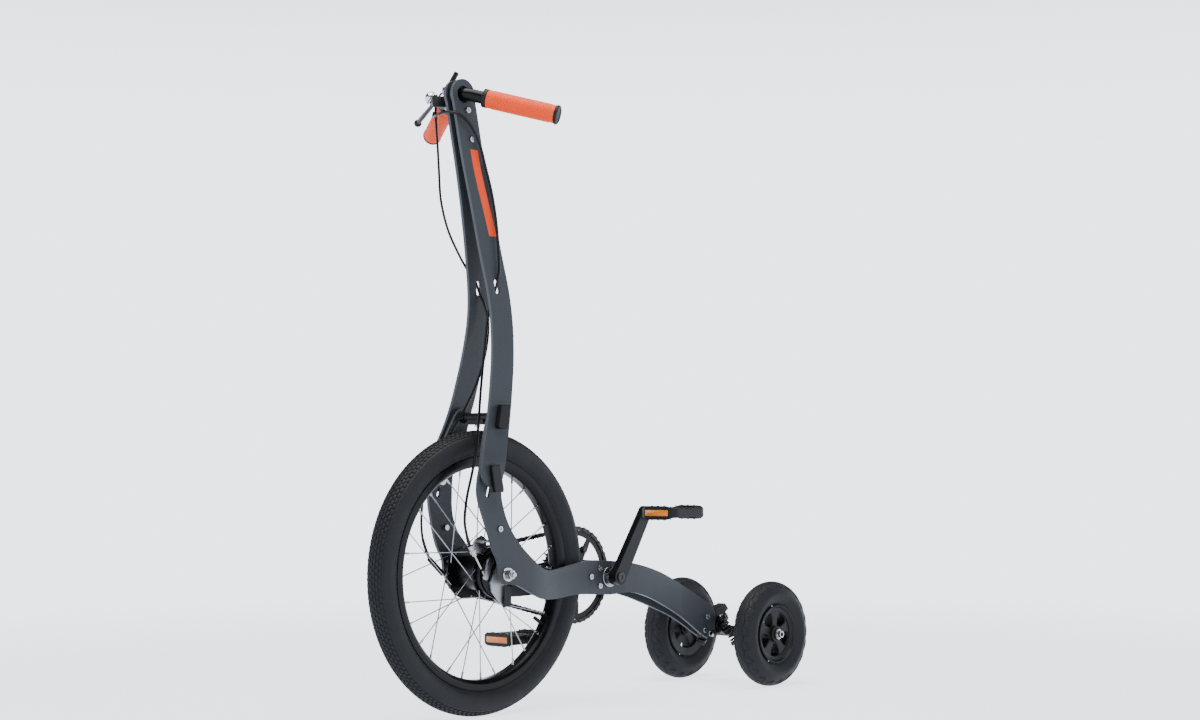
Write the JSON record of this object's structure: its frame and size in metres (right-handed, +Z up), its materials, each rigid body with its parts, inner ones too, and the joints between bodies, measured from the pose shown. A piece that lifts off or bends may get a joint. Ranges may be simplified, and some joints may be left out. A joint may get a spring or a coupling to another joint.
{
  "type": "stand-up pedal tricycle",
  "caption": "Folding stand-up cycle with one chain-driven front wheel, a tall curved twin-plate mast with handlebar, and a tilting two-wheel rear truck.",
  "frame": {"origin": "centre of the footprint's box, on the ground", "axes": "+X forward, the way it rides; +Y to the rider's left; +Z up"},
  "size_m": [1.051, 0.348, 1.1452],
  "materials": {
    "anthracite_paint": "satin powder coat",
    "black_paint": "satin black",
    "black_alloy": "black anodised",
    "bright_steel": "zinc plated",
    "cast_alloy": "fine blasted",
    "tyre_rubber": "matt",
    "black_rubber": "matt",
    "orange_rubber": "matt",
    "black_plastic": "moulded"
  },
  "bodies": {
    "frame": {"frame_plate_left": "anthracite_paint", "frame_plate_right": "anthracite_paint", "fold_strut": "black_paint", "strut_bolts": "bright_steel", "bb_shell": "black_alloy", "frame_bolts": "bright_steel", "bb_cartridge": "bright_steel", "front_axle": "bright_steel", "axle_nuts": "bright_steel", "hub_bearings": "bright_steel", "brake_plate": "black_alloy", "brake_shoes": "bright_steel", "reaction_arm": "bright_steel", "arm_clip": "black_paint", "cable_stop": "black_paint", "shift_box": "black_alloy", "truck_base": "black_alloy", "truck_bolts": "bright_steel", "kingpin_bolt": "bright_steel", "truck_springs": "black_rubber", "chain": "bright_steel"},
    "front_wheel": {"front_tyre": "tyre_rubber", "inner_tube": "black_rubber", "front_rim": "black_alloy", "spokes": "bright_steel", "hub_shell": "black_alloy", "gear_core": "bright_steel"},
    "driver": {"sprocket": "bright_steel"},
    "crank": {"bb_spindle": "bright_steel", "crank_left": "black_alloy", "crank_right": "black_alloy", "chainring": "black_paint", "crank_bolts": "bright_steel", "pedal_axles": "bright_steel"},
    "pedal_left": {"pedal_left": "black_plastic"},
    "pedal_right": {"pedal_right": "black_plastic"},
    "mast": {"mast_plate_left": "anthracite_paint", "mast_plate_right": "anthracite_paint", "mast_spacers": "black_alloy", "mast_bolts": "bright_steel", "fold_pins": "bright_steel", "fold_hooks": "black_alloy", "handlebar": "black_alloy", "grips": "orange_rubber", "grip_ends": "black_rubber", "lever_clamp": "black_alloy", "shifter_body": "cast_alloy", "bell": "bright_steel", "brake_cable": "black_rubber", "shift_cable": "black_rubber"},
    "latches": {"fold_latches": "black_alloy"},
    "brake_lever": {"brake_lever": "black_alloy"},
    "shift_lever": {"shift_lever": "black_alloy"},
    "brake_arm": {"brake_arm": "bright_steel"},
    "truck": {"truck_hanger": "black_paint", "rear_axle_nuts": "bright_steel"},
    "rear_wheel_left": {"rear_hub_left": "black_plastic", "rear_tyre_left": "tyre_rubber"},
    "rear_wheel_right": {"rear_hub_right": "black_plastic", "rear_tyre_right": "tyre_rubber"}
  },
  "joints": [
    {"name": "mast_fold", "type": "hinge", "parent": "frame", "child": "mast", "pos_m": [0.3065, 0, 0.418], "axis": [0, 1, 0], "range_deg": [0, 80], "deforming": ["brake_cable", "shift_cable"]},
    {"name": "latch_slide", "type": "slide", "parent": "mast", "child": "latches", "axis": [0, 0, 1], "range_m": [0, 0.01], "stiffness_N_per_m": 400, "springref_m": -0.01},
    {"name": "brake_lever_pivot", "type": "hinge", "parent": "mast", "child": "brake_lever", "pos_m": [0.33388, -0.0437, 1.08532], "axis": [0.1294, 0.2241, -0.9659], "range_deg": [0, 12], "stiffness_Nm_per_rad": 0.35},
    {"name": "shift_lever_pivot", "type": "hinge", "parent": "mast", "child": "shift_lever", "pos_m": [0.3, -0.045, 1.112], "axis": [0, 0, 1], "range_deg": [-15, 15]},
    {"name": "front_wheel_spin", "type": "hinge", "parent": "frame", "child": "front_wheel", "pos_m": [0.2725, 0, 0.253], "axis": [0, 1, 0], "continuous": true},
    {"name": "crank_spin", "type": "hinge", "parent": "frame", "child": "crank", "pos_m": [-0.0265, 0, 0.234], "axis": [0, 1, 0], "continuous": true, "deforming": ["chain"]},
    {"name": "sprocket_spin", "type": "hinge", "parent": "frame", "child": "driver", "pos_m": [0.2725, 0, 0.253], "axis": [0, 1, 0], "continuous": true},
    {"name": "pedal_left_spin", "type": "hinge", "parent": "crank", "child": "pedal_left", "pos_m": [-0.10361, 0.133, 0.35328], "axis": [0, 1, 0], "continuous": true},
    {"name": "pedal_right_spin", "type": "hinge", "parent": "crank", "child": "pedal_right", "pos_m": [0.05061, -0.133, 0.11472], "axis": [0, 1, 0], "continuous": true},
    {"name": "brake_arm_pivot", "type": "hinge", "parent": "frame", "child": "brake_arm", "pos_m": [0.2965, 0.059, 0.276], "axis": [0, -1, 0], "range_deg": [0, 6]},
    {"name": "truck_tilt", "type": "hinge", "parent": "frame", "child": "truck", "pos_m": [-0.3995, 0, 0.118], "axis": [0.766, 0, -0.6428], "range_deg": [-10, 10], "stiffness_Nm_per_rad": 250, "deforming": ["truck_springs"]},
    {"name": "rear_wheel_left_spin", "type": "hinge", "parent": "truck", "child": "rear_wheel_left", "pos_m": [-0.4215, 0.116, 0.104], "axis": [0, 1, 0], "continuous": true},
    {"name": "rear_wheel_right_spin", "type": "hinge", "parent": "truck", "child": "rear_wheel_right", "pos_m": [-0.4215, -0.116, 0.104], "axis": [0, 1, 0], "continuous": true}
  ],
  "couplings": [
    {"joint": "sprocket_spin", "follows": "crank_spin", "ratio": 2.75},
    {"joint": "brake_arm_pivot", "follows": "brake_lever_pivot", "ratio": 0.5}
  ]
}
